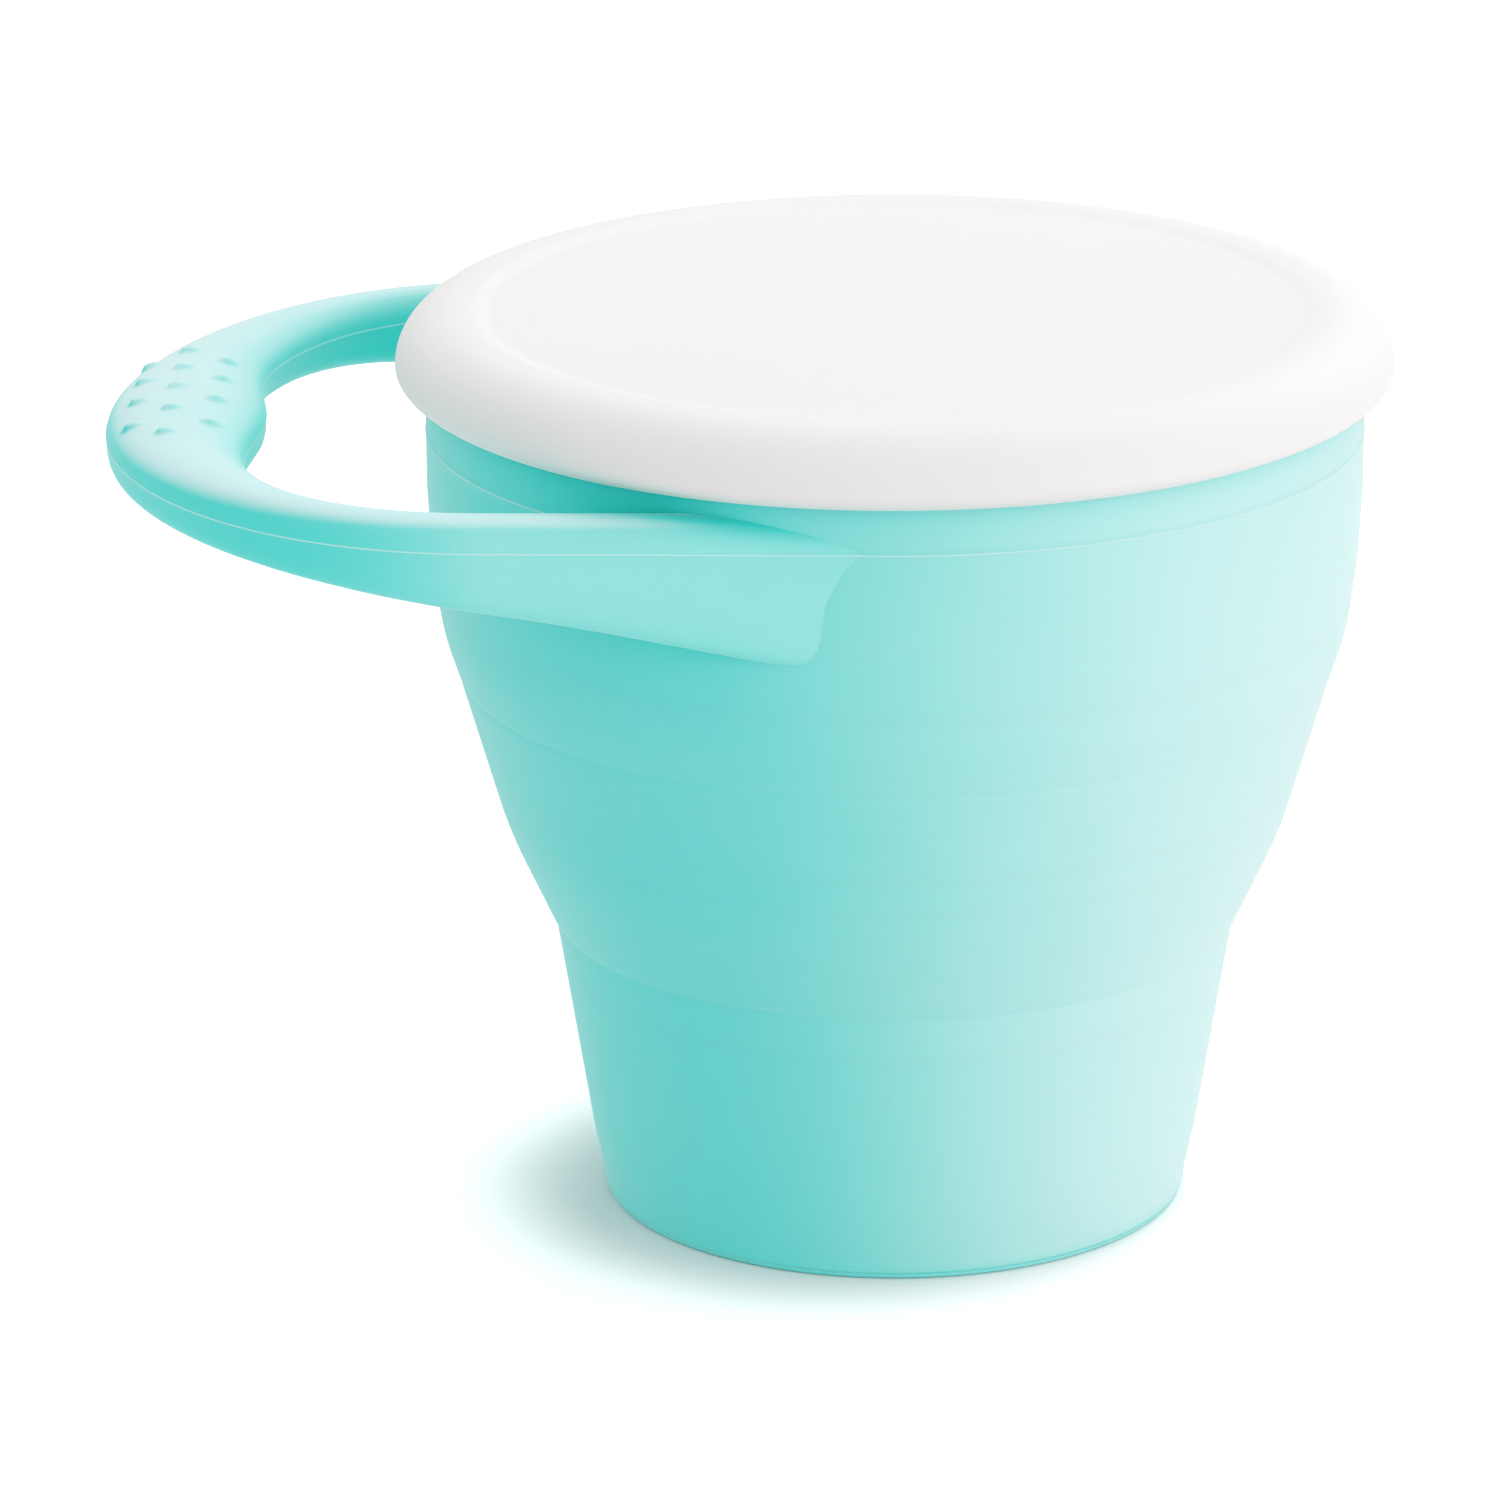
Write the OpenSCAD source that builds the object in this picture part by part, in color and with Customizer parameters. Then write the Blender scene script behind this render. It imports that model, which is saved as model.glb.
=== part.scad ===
// Collapsible snack cup with a loop handle, a slit guard and a lift-off lid, in millimetres.
// The origin is the middle of the base's underside, +Z is up and the handle points along -X.
// The cup stands expanded. Its wall is three stiff sections joined by two thin webs that fold.

/* [Cup radii] */
// Outer radius of the cup at the floor
base_r = 31; // [26:0.5:40]
// How much the base section widens to its top
base_flare = 4.6; // [2:0.1:7]
// How much the lower fold widens the wall
lower_fold_step = 5.4; // [3.6:0.1:8]
// How much the middle section widens to its top
middle_flare = 2.6; // [1:0.1:5]
// How much the upper fold widens the wall
upper_fold_step = 3.9; // [3.6:0.1:7]
// How much the collar widens before it stands straight
collar_flare = 1.4; // [0.4:0.1:3]
// How far the bead round the rim stands out of the collar
rim_bead = 0.6; // [0.2:0.1:1.2]

/* [Cup heights] */
// Height of the base section
base_h = 28.5; // [22:0.5:40]
// Height of the lower fold, which turns inside out when the cup collapses
lower_fold_h = 12.5; // [8:0.5:14]
// Height of the middle section
middle_h = 9; // [6:0.5:16]
// Height of the upper fold
upper_fold_h = 12.5; // [8:0.5:14]
// Height of the collar, from the upper fold to the rim
collar_h = 29.5; // [27:0.5:40]
// Height over which the collar widens
collar_flare_h = 14; // [8:0.5:18]
// Height of the bead round the rim
rim_bead_h = 5.2; // [3:0.1:6]

/* [Cup walls] */
// Thickness of the stiff sections of the wall
wall = 2; // [1.4:0.1:2.6]
// Thickness of the two folding webs
web_t = 1; // [0.6:0.1:1.2]
// Thickness of the cup's floor
floor_t = 2.6; // [1.6:0.1:5]
// Radius of the fillet inside, round the floor
floor_fillet = 4; // [1:0.5:8]
// Radius of the edge round the underside
foot_round = 0.8; // [0.3:0.1:1.4]

/* [Handle] */
// How far the handle's tip stands out from the collar
handle_out = 33.9; // [28:0.1:48]
// Distance inside the collar's radius at which the arms start to curve
curve_lead = 7.9; // [4:0.1:12]
// Width of the arms, seen from above
arm_w = 7; // [5:0.1:10]
// Radial width of the loop at its tip, without the pad's swell
strap_w = 14.3; // [8:0.1:18]
// How far the thumb pad swells into the finger gap
pad_swell = 2.5; // [0:0.1:5]
// Half of the length over which the pad swells
pad_half = 18; // [10:0.5:24]
// Depth of the parting line below the lid's edge
seam_drop = 4.2; // [4:0.1:7]
// Height of the handle's top above the parting line
handle_rise = 2.6; // [1.5:0.1:3.4]
// Extra crown of the thumb pad
pad_crown = 0.7; // [0:0.1:1.5]
// Depth of the pad's underside below the parting line
grip_drop = 3.1; // [2:0.1:5]
// Depth of the arms' underside below the parting line, where they meet the cup
arm_end_drop = 12.5; // [6:0.1:15]
// How far the arms' outer faces stand proud of the cup where they meet it
arm_proud = 0.35; // [0.2:0.05:1]
// Distance of the arms' ends from the cup's middle plane
arm_end_x = 5; // [3:0.5:10]
// Radius of each bump on the thumb pad
nub_r = 1.2; // [0.6:0.1:1.8]
// Height of each bump
nub_h = 0.6; // [0.3:0.1:1]
// Distance between bumps along a row
nub_pitch = 7.7; // [5:0.1:9]
// Distance between the rows of bumps
nub_row_gap = 4; // [3:0.1:4.4]
// How far the rows lie outside the middle of the pad's width
nub_shift = 0.8; // [0:0.1:1.2]

/* [Guard] */
// Thickness of the guard's flange and sleeve
guard_t = 1.2; // [0.8:0.1:1.6]
// Distance of the guard's flange inside the rim's outer edge
flange_setback = 0.2; // [0.1:0.1:1]
// Depth of the guard's disc below the rim
guard_drop = 6.5; // [4:0.1:9]
// Thickness of the guard's disc
disc_t = 1.5; // [1.2:0.1:2.5]
// Thickness of the flaps
flap_t = 1.3; // [0.9:0.1:1.5]
// Distance of each flap's fold line from the cup's axis
flap_reach = 33; // [24:0.5:36]
// Thickness of the flaps at the fold line
fold_line_t = 0.4; // [0.3:0.05:0.5]
// Width of the slits between the flaps
slit_w = 0.5; // [0.4:0.1:1.2]
// Distance of the flaps' tips from the cup's axis
tip_gap = 3; // [2:0.5:8]

/* [Lid] */
// Thickness of the lid's skirt
skirt_t = 2.1; // [1.4:0.1:3]
// Depth of the lid's edge below the cup's rim
skirt_drop = 4; // [3:0.1:6]
// Thickness of the lid over the rim
plate_t = 3; // [2.8:0.1:5]
// Radius of the lid's upper edge
lid_round = 5; // [2:0.1:5.5]
// Radius of the lid's lower edge
skirt_round = 2; // [0.6:0.1:2]
// Thickness of the lid under its panel
lid_t = 2; // [1.2:0.1:2.2]
// Depth of the round panel in the lid's top
panel_depth = 0.5; // [0.2:0.1:0.8]
// Distance of the panel's edge from the lid's edge
panel_margin = 8.5; // [6:0.1:14]
// Height of the sealing ring's end above the guard's disc
seal_clear = 2.8; // [2:0.1:4]
// Thickness of the sealing ring
seal_t = 1.5; // [1:0.1:2]

/* [Clearances] */
// Gap between the lid's skirt and the rim's bead
lid_gap = 0.4; // [0.3:0.05:0.8]
// Gap between the lid and the guard under it
lid_rest_gap = 0.3; // [0.2:0.05:0.6]
// Gap between the guard's sleeve and the cup's wall
guard_gap = 0.3; // [0.2:0.05:0.6]
// Gap between the lid's sealing ring and the guard's sleeve
seal_gap = 0.4; // [0.3:0.05:0.8]
// Gap between the guard's disc and the flaps' fold lines
fold_gap = 0.3; // [0.3:0.05:0.6]

/* [Hidden] */
$fn = 96;
silicone = [0.45, 0.86, 0.83];
web_silicone = [0.36, 0.80, 0.77];
guard_silicone = [0.55, 0.88, 0.86];
lid_white = [0.96, 0.96, 0.95];

// Outer radii of the wall, from the floor up
base_top_r = base_r + base_flare;
middle_low_r = base_top_r + lower_fold_step;
middle_top_r = middle_low_r + middle_flare;
collar_low_r = middle_top_r + upper_fold_step;
collar_r = collar_low_r + collar_flare;
rim_r = collar_r + rim_bead;

// Heights of the section ends, from the floor up
middle_low_z = base_h + lower_fold_h;
middle_top_z = middle_low_z + middle_h;
collar_low_z = middle_top_z + upper_fold_h;
rim_z = collar_low_z + collar_h;
lid_low_z = rim_z - skirt_drop;
seam_z = lid_low_z - seam_drop;
arc_steps = 8;

// Points of a rounded corner in a profile, about its centre
function arc(centre, r, from, to) = [
    for (i = [0:arc_steps])
        let (a = from + (to - from) * i / arc_steps)
        centre + r * [cos(a), sin(a)]
];

// A ring of wall between two heights, with its inner face a wall's thickness inside the outer one
module wall_ring(low_r, low_z, top_r, top_z, t) {
    rotate_extrude()
        polygon([[low_r - t, low_z], [low_r, low_z], [top_r, top_z], [top_r - t, top_z]]);
}

// Base section: the cup's floor and the lowest stretch of wall, open at the top
module cup_base() {
    lean = base_flare / base_h;
    floor_in_r = base_r - wall + lean * floor_t;
    color(silicone)
        rotate_extrude()
            polygon(concat(
                [[0, 0]],
                arc([base_r - foot_round, foot_round], foot_round, -90, 0),
                [[base_top_r, base_h], [base_top_r - wall, base_h]],
                [[floor_in_r + lean * floor_fillet, floor_t + floor_fillet]],
                arc([floor_in_r - floor_fillet, floor_t + floor_fillet], floor_fillet, -8, -90),
                [[0, floor_t]]
            ));
}

// Thin web that joins the base to the middle section and turns inside out when folded
module lower_fold_web() {
    color(web_silicone)
        wall_ring(base_top_r, base_h, middle_low_r, middle_low_z, web_t);
}

// Middle section, which drops round the base
module cup_middle() {
    color(silicone)
        wall_ring(middle_low_r, middle_low_z, middle_top_r, middle_top_z, wall);
}

// Thin web that joins the middle section to the collar
module upper_fold_web() {
    color(web_silicone)
        wall_ring(middle_top_r, middle_top_z, collar_low_r, collar_low_z, web_t);
}

// Outer outline of the collar, from its lower end to the rim
bead_z = rim_z - rim_bead_h;
function flare_r(s) = collar_low_r + collar_flare * sin(90 * s);
collar_outline = concat(
    [for (i = [0:arc_steps]) [flare_r(i / arc_steps), collar_low_z + collar_flare_h * i / arc_steps]],
    [[collar_r, bead_z], [rim_r, bead_z + rim_bead], [rim_r, rim_z - rim_bead], [collar_r, rim_z]]
);

// Upper section of the cup, up to its rim
module cup_collar() {
    inside = [
        for (i = [arc_steps:-1:0])
            [flare_r(i / arc_steps) - wall, collar_low_z + collar_flare_h * i / arc_steps]
    ];
    color(silicone)
        rotate_extrude()
            polygon(concat(collar_outline, [[collar_r - wall, rim_z]], inside));
}

// Handle: a ring of points at each station of the loop, from one arm's end to the other's
curve_stations = 28;
arm_stations = 7;
ring_points = 20;
handle_reach = collar_r + handle_out;
arm_straight = collar_r - curve_lead;
tip_span = handle_reach - arm_straight;
outer_y = collar_r + arm_proud;
gap_y = outer_y - arm_w;
gap_span = tip_span - strap_w;
gap_power = 2.5;

// Share of the way from an arm's end to the loop's tip
function way(x) = (-x - arm_end_x) / (handle_reach - arm_end_x);
// Corner sharpness of the section, which is boxy at the cup and round at the grip
boxy_power = 7;
round_power = 2.8;
round_way = 0.55;
function section_power(x) = boxy_power - (boxy_power - round_power) * min(1, way(x) / round_way);
function underside(x) = seam_z - arm_end_drop + (arm_end_drop - grip_drop) * sin(90 * way(x));
// The arms' tops dip over a short run where they meet the cup
end_round = 9;
end_dip = 1.8;
function end_fall(x) = end_dip * pow(1 - min(1, (-x - arm_end_x) / end_round), 2);
function crown(y) = abs(y) < pad_half ? pad_crown * (1 + cos(180 * y / pad_half)) / 2 : 0;
function swell(y) = abs(y) < pad_half ? pad_swell * (1 + cos(180 * y / pad_half)) / 2 : 0;
function topside(x, y) = seam_z + handle_rise - end_fall(x) + (x < -arm_straight ? crown(y) : 0);

function signed_pow(v, p) = sign(v) * pow(abs(v), p);
// Outer and inner points of a station on the loop's curved part, 90 at one arm and 270 at the other
function curve_station(a) = let (
    out = [-arm_straight + tip_span * cos(a), outer_y * sin(a)],
    gap_x = -arm_straight + gap_span * signed_pow(cos(a), 2 / gap_power),
    gap = [gap_x, gap_y * signed_pow(sin(a), 2 / gap_power)]
) [out, gap + [swell(gap[1]) * -cos(a), 0]];
function arm_station(i, side) = let (
    x = -arm_end_x - (arm_straight - arm_end_x) * i / arm_stations
) [[x, side * outer_y], [x, side * gap_y]];
stations = concat(
    [for (i = [0:arm_stations - 1]) arm_station(i, 1)],
    [for (i = [0:curve_stations]) curve_station(90 + 180 * i / curve_stations)],
    [for (i = [arm_stations - 1:-1:0]) arm_station(i, -1)]
);

// Points of one section: an oval with flattened sides between the outer and the inner point
function section(st) = let (
    mid = (st[0] + st[1]) / 2,
    half = (st[0] - st[1]) / 2,
    low = underside(st[0][0]),
    high = topside(st[0][0], mid[1]),
    p = 2 / section_power(st[0][0])
) [
    for (k = [0:ring_points - 1])
        let (
            a = 360 * (k + 0.5) / ring_points,
            plan = mid + half * signed_pow(cos(a), p)
        )
        [plan[0], plan[1], (low + high) / 2 + (high - low) / 2 * signed_pow(sin(a), p)]
];

module handle_loop() {
    last = len(stations) - 1;
    points = [for (st = stations) each section(st)];
    sides = [
        for (i = [0:last - 1], k = [0:ring_points - 1])
            let (a = i * ring_points + k, b = i * ring_points + (k + 1) % ring_points)
            each [[a, b, b + ring_points], [a, b + ring_points, a + ring_points]]
    ];
    near_cap = [for (k = [ring_points - 1:-1:0]) k];
    far_cap = [for (k = [0:ring_points - 1]) last * ring_points + k];
    polyhedron(points, concat(sides, [near_cap, far_cap]), convexity = 6);
}

// Height of the pad's top at a distance from the middle of its width
pad_mid_x = -handle_reach + (strap_w + pad_swell) / 2;
pad_half_w = (strap_w + pad_swell) / 2;
function pad_top(x, y) = let (
    u = min(0.95, abs(x - pad_mid_x) / pad_half_w),
    n = section_power(-handle_reach),
    mid_z = seam_z + (handle_rise + crown(y) - grip_drop) / 2,
    half_h = (handle_rise + crown(y) + grip_drop) / 2
) mid_z + half_h * pow(1 - pow(u, n), 1 / n);

// Rows of bumps on the pad: five in the middle row and four in each row beside it
nub_root = 0.8;
nub_foot = 0.3;
middle_count = 5;
nub_rows = [
    for (row = [-1:1])
        let (count = row == 0 ? middle_count : middle_count - 1)
        for (i = [0:count - 1])
            [pad_mid_x - nub_shift + row * nub_row_gap, (i - (count - 1) / 2) * nub_pitch]
];
module nub(x, y) {
    translate([x, y, pad_top(x, y) - nub_root])
        cylinder(h = nub_root + nub_h, r1 = nub_r + nub_foot, r2 = nub_r / 2, $fn = 24);
}

// Loop handle moulded to the collar, cut to the collar's outer face
module carry_handle() {
    color(silicone)
        difference() {
            union() {
                handle_loop();
                for (n = nub_rows)
                    nub(n[0], n[1]);
            }
            rotate_extrude()
                polygon(concat([[0, collar_low_z]], collar_outline, [[0, rim_z]]));
        }
}

// Guard insert: a flange on the rim, a sleeve in the mouth and a disc with a six-sided opening
sleeve_r = collar_r - wall - guard_gap;
sleeve_in_r = sleeve_r - guard_t;
flange_r = rim_r - flange_setback;
disc_top_z = rim_z - guard_drop + disc_t / 2;
disc_low_z = disc_top_z - disc_t;
flap_count = 6;
half_turn = 180 / flap_count;
module guard_ring() {
    open_r = (flap_reach + fold_gap / 2) / cos(half_turn);
    color(guard_silicone)
        difference() {
            rotate_extrude()
                polygon([
                    [0, disc_low_z], [sleeve_r, disc_low_z], [sleeve_r, rim_z], [flange_r, rim_z],
                    [flange_r, rim_z + guard_t], [sleeve_in_r, rim_z + guard_t],
                    [sleeve_in_r, disc_top_z], [0, disc_top_z]
                ]);
            translate([0, 0, disc_low_z - 1])
                rotate(half_turn)
                    cylinder(h = disc_t + 2, r = open_r, $fn = flap_count);
        }
}

// Flap: a wedge that thins to its fold line, between the slits on its two sides
thin_run = 1.2;
module guard_flap(index) {
    mid_z = rim_z - guard_drop;
    root = flap_reach - fold_gap / 2;
    side = slit_w / 2 / cos(half_turn);
    root_half = root * tan(half_turn) - side;
    tip_half = tip_gap * tan(half_turn) - side;
    color(guard_silicone)
        rotate(index * 360 / flap_count)
            intersection() {
                translate([0, 0, mid_z - flap_t])
                    linear_extrude(height = 2 * flap_t)
                        polygon([
                            [tip_gap, -tip_half], [root, -root_half],
                            [root, root_half], [tip_gap, tip_half]
                        ]);
                translate([0, flap_reach, mid_z])
                    rotate([90, 0, 0])
                        linear_extrude(height = 2 * flap_reach)
                            polygon([
                                [0, -flap_t / 2], [root - thin_run, -flap_t / 2],
                                [root, -fold_line_t / 2], [root, fold_line_t / 2],
                                [root - thin_run, flap_t / 2], [0, flap_t / 2]
                            ]);
            }
}

// Lid: a cap over the rim, with a round panel in its top and a ring that seals inside the guard
skirt_in_r = rim_r + lid_gap;
lid_r = skirt_in_r + skirt_t;
lid_rest_z = rim_z + guard_t + lid_rest_gap;
lid_top_z = lid_rest_z + plate_t;
seal_r = sleeve_in_r - seal_gap;
seal_low_z = disc_top_z + seal_clear;
skirt_edge = 0.3;
inner_round = 0.4;
module lid_cover() {
    panel_r = lid_r - panel_margin;
    panel_z = lid_top_z - panel_depth;
    low_r = min(skirt_round, skirt_t - 0.1);
    top_r = min(lid_round, lid_top_z - lid_low_z - low_r);
    color(lid_white)
        rotate_extrude()
            polygon(concat(
                [[0, panel_z], [panel_r - panel_depth, panel_z], [panel_r, lid_top_z]],
                arc([lid_r - top_r, lid_top_z - top_r], top_r, 90, 0),
                arc([lid_r - low_r, lid_low_z + low_r], low_r, 0, -85),
                [[skirt_in_r, lid_low_z + skirt_edge], [skirt_in_r, lid_rest_z - inner_round]],
                [[skirt_in_r - inner_round, lid_rest_z], [seal_r, lid_rest_z]],
                [[seal_r, seal_low_z], [seal_r - seal_t, seal_low_z]],
                [[seal_r - seal_t, panel_z - lid_t], [0, panel_z - lid_t]]
            ));
}

cup_base();
lower_fold_web();
cup_middle();
upper_fold_web();
cup_collar();
carry_handle();
guard_ring();
guard_flap(0);  // guard_flap_1
guard_flap(1);  // guard_flap_2
guard_flap(2);  // guard_flap_3
guard_flap(3);  // guard_flap_4
guard_flap(4);  // guard_flap_5
guard_flap(5);  // guard_flap_6
lid_cover();
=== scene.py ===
import math
import bmesh
import bpy
from mathutils import Matrix, Vector


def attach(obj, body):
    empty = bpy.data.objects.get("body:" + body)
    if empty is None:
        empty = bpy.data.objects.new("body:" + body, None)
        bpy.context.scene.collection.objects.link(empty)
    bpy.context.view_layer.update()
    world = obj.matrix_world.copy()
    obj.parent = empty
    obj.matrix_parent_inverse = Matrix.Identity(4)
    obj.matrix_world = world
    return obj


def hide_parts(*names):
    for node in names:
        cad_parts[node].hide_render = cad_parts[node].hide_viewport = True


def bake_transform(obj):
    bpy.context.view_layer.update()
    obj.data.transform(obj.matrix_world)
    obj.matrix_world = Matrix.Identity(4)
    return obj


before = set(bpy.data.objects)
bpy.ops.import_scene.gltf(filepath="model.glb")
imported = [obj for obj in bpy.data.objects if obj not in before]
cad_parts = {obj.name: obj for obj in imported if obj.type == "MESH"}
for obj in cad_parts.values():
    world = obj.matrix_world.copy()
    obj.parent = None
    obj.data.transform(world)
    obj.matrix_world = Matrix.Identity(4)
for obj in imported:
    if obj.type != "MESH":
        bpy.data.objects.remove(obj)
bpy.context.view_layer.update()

mm = 0.001
tiny = 1e-12


# Small helpers for drawing and turning

def startFresh():
    if bpy.context.object and bpy.context.object.mode != "OBJECT":
        bpy.ops.object.mode_set(mode="OBJECT")
    bpy.ops.object.select_all(action="DESELECT")


def softCorners(corners, turnStep=9, sideShare=0.49):
    # corners are (r, z, rounding); a rounding of 0 leaves the corner sharp, and none reaches further
    # along a side than sideShare of it
    points = []
    for i, (r, z, rounding) in enumerate(corners):
        here = Vector((r, z))
        if rounding <= 0 or i in (0, len(corners) - 1):
            points.append(here)
            continue
        back = Vector(corners[i - 1][:2]) - here
        ahead = Vector(corners[i + 1][:2]) - here
        opening = back.angle(ahead)
        longest = sideShare * min(back.length, ahead.length)
        reach = min(rounding / math.tan(opening / 2), longest)
        radius = reach * math.tan(opening / 2)
        inward = (back.normalized() + ahead.normalized()).normalized()
        centre = here + inward * (radius / math.sin(opening / 2))
        first = here + back.normalized() * reach - centre
        last = here + ahead.normalized() * reach - centre
        turned = math.pi - opening
        steps = max(2, math.ceil(math.degrees(turned) / turnStep))
        for k in range(steps + 1):
            share = k / steps
            # slerp between the two ends of the arc
            a = math.sin((1 - share) * turned) / math.sin(turned)
            b = math.sin(share * turned) / math.sin(turned)
            points.append(centre + first * a + last * b)
    return [(p.x, p.y) for p in points]


def ellipseArc(centre, radii, fromDeg, toDeg, steps):
    arc = []
    for k in range(steps + 1):
        angle = math.radians(fromDeg + (toDeg - fromDeg) * k / steps)
        arc.append((centre[0] + radii[0] * math.cos(angle), centre[1] + radii[1] * math.sin(angle)))
    return arc


def turnOutline(name, outline, steps=192, sharp=35, samePoint=2e-6):
    # pushes one vertex along the outline, then spins the outline round the upright axis
    startFresh()
    bpy.ops.mesh.primitive_plane_add(size=mm)
    piece = bpy.context.object
    piece.name = piece.data.name = name
    bpy.ops.object.mode_set(mode="EDIT")
    bpy.ops.mesh.merge(type="CENTER")
    here = Vector((0, 0, 0))
    for i, (r, z) in enumerate(outline):
        there = Vector((r, 0, z)) * mm
        if i == 0:
            bpy.ops.transform.translate(value=there)
        else:
            bpy.ops.mesh.extrude_vertices_move(TRANSFORM_OT_translate={"value": there - here})
        here = there
    bpy.ops.mesh.select_all(action="SELECT")
    bpy.ops.mesh.spin(steps=steps, angle=2 * math.pi, center=(0, 0, 0), axis=(0, 0, 1))
    bpy.ops.mesh.select_all(action="SELECT")
    bpy.ops.mesh.remove_doubles(threshold=samePoint)
    bpy.ops.mesh.normals_make_consistent(inside=False)
    bpy.ops.object.mode_set(mode="OBJECT")
    bpy.ops.object.shade_smooth_by_angle(angle=math.radians(sharp))
    return piece


# Parting line of the mould, in millimetres: a low ridge on the collar and the handle, and a painted
# highlight, a thin pale line, on it
seam = {
    "z": 83.8, "half": 0.15, "stand": 0.07, "highlightHalf": 0.12,
    # points across the ridge, as shares of its half width and its height
    "ridge": ((0.45, 0.72), (0, 1), (-0.45, 0.72)),
}


# Materials: three shared effects as groups, then one material per finish

# sockets of a Mix node that mixes colours
mixFrom = 6
mixTo = 7
mixed = 2


def addNode(tree, kind, place, **values):
    node = tree.nodes.new(kind)
    node.location = place
    for key, value in values.items():
        if hasattr(node, key):
            setattr(node, key, value)
        else:
            node.inputs[key.replace("_", " ")].default_value = value
    return node


def setRun(node, run, end="From"):
    # the two ends of a Map Range node's input or output
    node.inputs[end + " Min"].default_value = run[0]
    node.inputs[end + " Max"].default_value = run[1]


def makeGroup(name, inputs, outputs):
    # each socket is (name, kind), and a third entry is the value it has until a material sets it
    group = bpy.data.node_groups.new(name, "ShaderNodeTree")
    for way, sockets in (("INPUT", inputs), ("OUTPUT", outputs)):
        for title, kind, *start in sockets:
            socket = group.interface.new_socket(name=title, in_out=way, socket_type="NodeSocket" + kind)
            if start:
                socket.default_value = start[0]
    return group


def makeFineGrain():
    # a fine grain and a slower ripple, added up as one height
    group = makeGroup(
        "fineGrain",
        [("Grain Scale", "Float"), ("Ripple Scale", "Float"), ("Ripple Share", "Float")],
        [("Height", "Float")])
    ins = addNode(group, "NodeGroupInput", (-800, 0))
    outs = addNode(group, "NodeGroupOutput", (400, 0))
    place = addNode(group, "ShaderNodeTexCoord", (-800, -250))
    grain = addNode(group, "ShaderNodeTexNoise", (-500, 150), Detail=3.0, Roughness=0.6)
    ripple = addNode(group, "ShaderNodeTexNoise", (-500, -150), Detail=2.0, Roughness=0.5)
    share = addNode(group, "ShaderNodeMath", (-200, -100), operation="MULTIPLY")
    total = addNode(group, "ShaderNodeMath", (100, 0), operation="ADD")
    link = group.links.new
    link(place.outputs["Object"], grain.inputs["Vector"])
    link(place.outputs["Object"], ripple.inputs["Vector"])
    link(ins.outputs["Grain Scale"], grain.inputs["Scale"])
    link(ins.outputs["Ripple Scale"], ripple.inputs["Scale"])
    link(ripple.outputs["Fac"], share.inputs[0])
    link(ins.outputs["Ripple Share"], share.inputs[1])
    link(grain.outputs["Fac"], total.inputs[0])
    link(share.outputs[0], total.inputs[1])
    link(total.outputs[0], outs.inputs["Height"])
    return group


powderAndLightShape = {
    # the normal's z at which the painted light on top is full, and the run of its x towards the lit side,
    # where the painted side light grows
    "litTopFull": 0.95, "litSideRun": (-0.62, 0.9),
    "cloudScale": 45.0, "cloudRun": (0.3, 0.7),
}


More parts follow.
